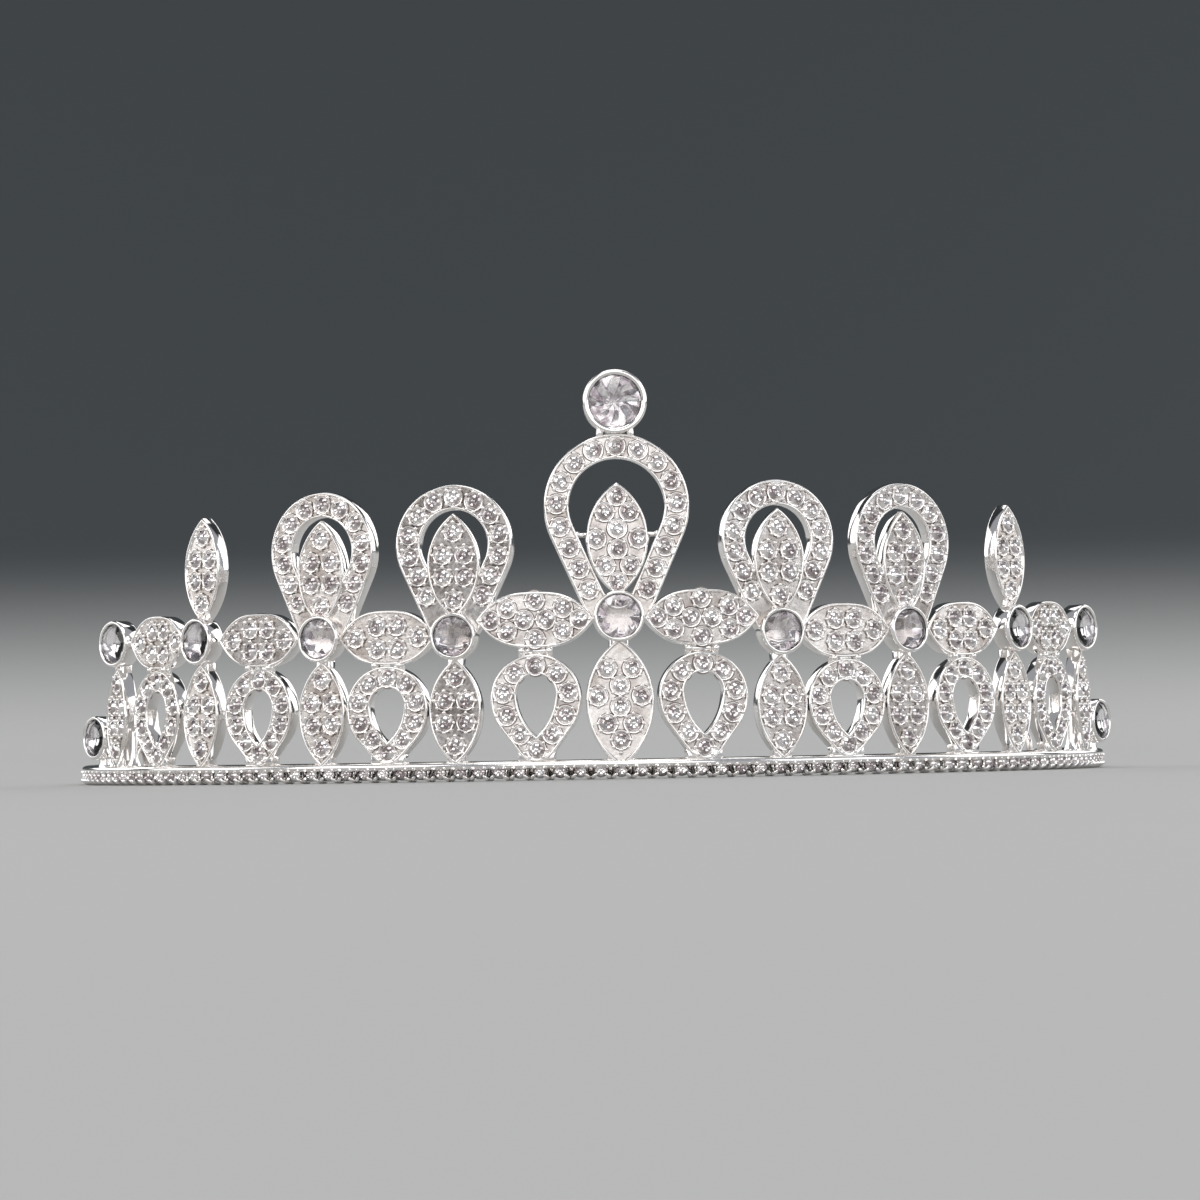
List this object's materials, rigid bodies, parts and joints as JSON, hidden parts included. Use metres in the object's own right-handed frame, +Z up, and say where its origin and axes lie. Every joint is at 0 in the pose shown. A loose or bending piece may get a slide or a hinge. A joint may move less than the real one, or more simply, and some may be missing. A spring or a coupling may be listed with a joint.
{
  "type": "bridal tiara",
  "caption": "Rigid bridal tiara: stone-set leaf, drop and loop castings soldered to a curved claw-chain rail with an eyelet at each end.",
  "frame": {"origin": "centre of the tiara's bounding box, on the plane that the rail stands on", "axes": "+Z up from the rail to the top stone, -Y out of the front, +X to the viewer's right when facing the front"},
  "size_m": [0.1476, 0.1046, 0.0565],
  "materials": {
    "silver_plate": "polished silver plate, slightly warm",
    "crystal": "clear foil-backed rhinestone, small brilliant facets",
    "large_crystal": "clear foil-backed round chaton, large facets"
  },
  "bodies": {
    "root": {"base_band": "silver_plate", "cup_chain_left": "silver_plate", "cup_chain_right": "silver_plate", "end_eyelet_left": "silver_plate", "end_eyelet_right": "silver_plate", "stem_front": "silver_plate", "stem_left_1": "silver_plate", "stem_left_2": "silver_plate", "stem_left_3": "silver_plate", "stem_left_4": "silver_plate", "stem_right_1": "silver_plate", "stem_right_2": "silver_plate", "stem_right_3": "silver_plate", "stem_right_4": "silver_plate", "drop_left_1": "silver_plate", "drop_left_2": "silver_plate", "drop_left_3": "silver_plate", "drop_left_4": "silver_plate", "drop_right_1": "silver_plate", "drop_right_2": "silver_plate", "drop_right_3": "silver_plate", "drop_right_4": "silver_plate", "leaf_left_1": "silver_plate", "leaf_left_2": "silver_plate", "leaf_left_3": "silver_plate", "leaf_left_4": "silver_plate", "leaf_right_1": "silver_plate", "leaf_right_2": "silver_plate", "leaf_right_3": "silver_plate", "leaf_right_4": "silver_plate", "setting_front": "silver_plate", "setting_left_1": "silver_plate", "setting_left_2": "silver_plate", "setting_left_3": "silver_plate", "setting_left_4": "silver_plate", "setting_right_1": "silver_plate", "setting_right_2": "silver_plate", "setting_right_3": "silver_plate", "setting_right_4": "silver_plate", "end_setting_left": "silver_plate", "end_setting_right": "silver_plate", "top_setting": "silver_plate", "centre_loop": "silver_plate", "centre_leaf": "silver_plate", "loop_left_1": "silver_plate", "loop_left_2": "silver_plate", "loop_right_1": "silver_plate", "loop_right_2": "silver_plate", "loop_leaf_left_1": "silver_plate", "loop_leaf_left_2": "silver_plate", "loop_leaf_right_1": "silver_plate", "loop_leaf_right_2": "silver_plate", "spear_left": "silver_plate", "spear_right": "silver_plate", "solder_ties": "silver_plate", "chain_stones": "crystal", "lower_pave": "crystal", "middle_pave": "crystal", "upper_pave": "crystal", "round_stones": "large_crystal"}
  },
  "joints": []
}
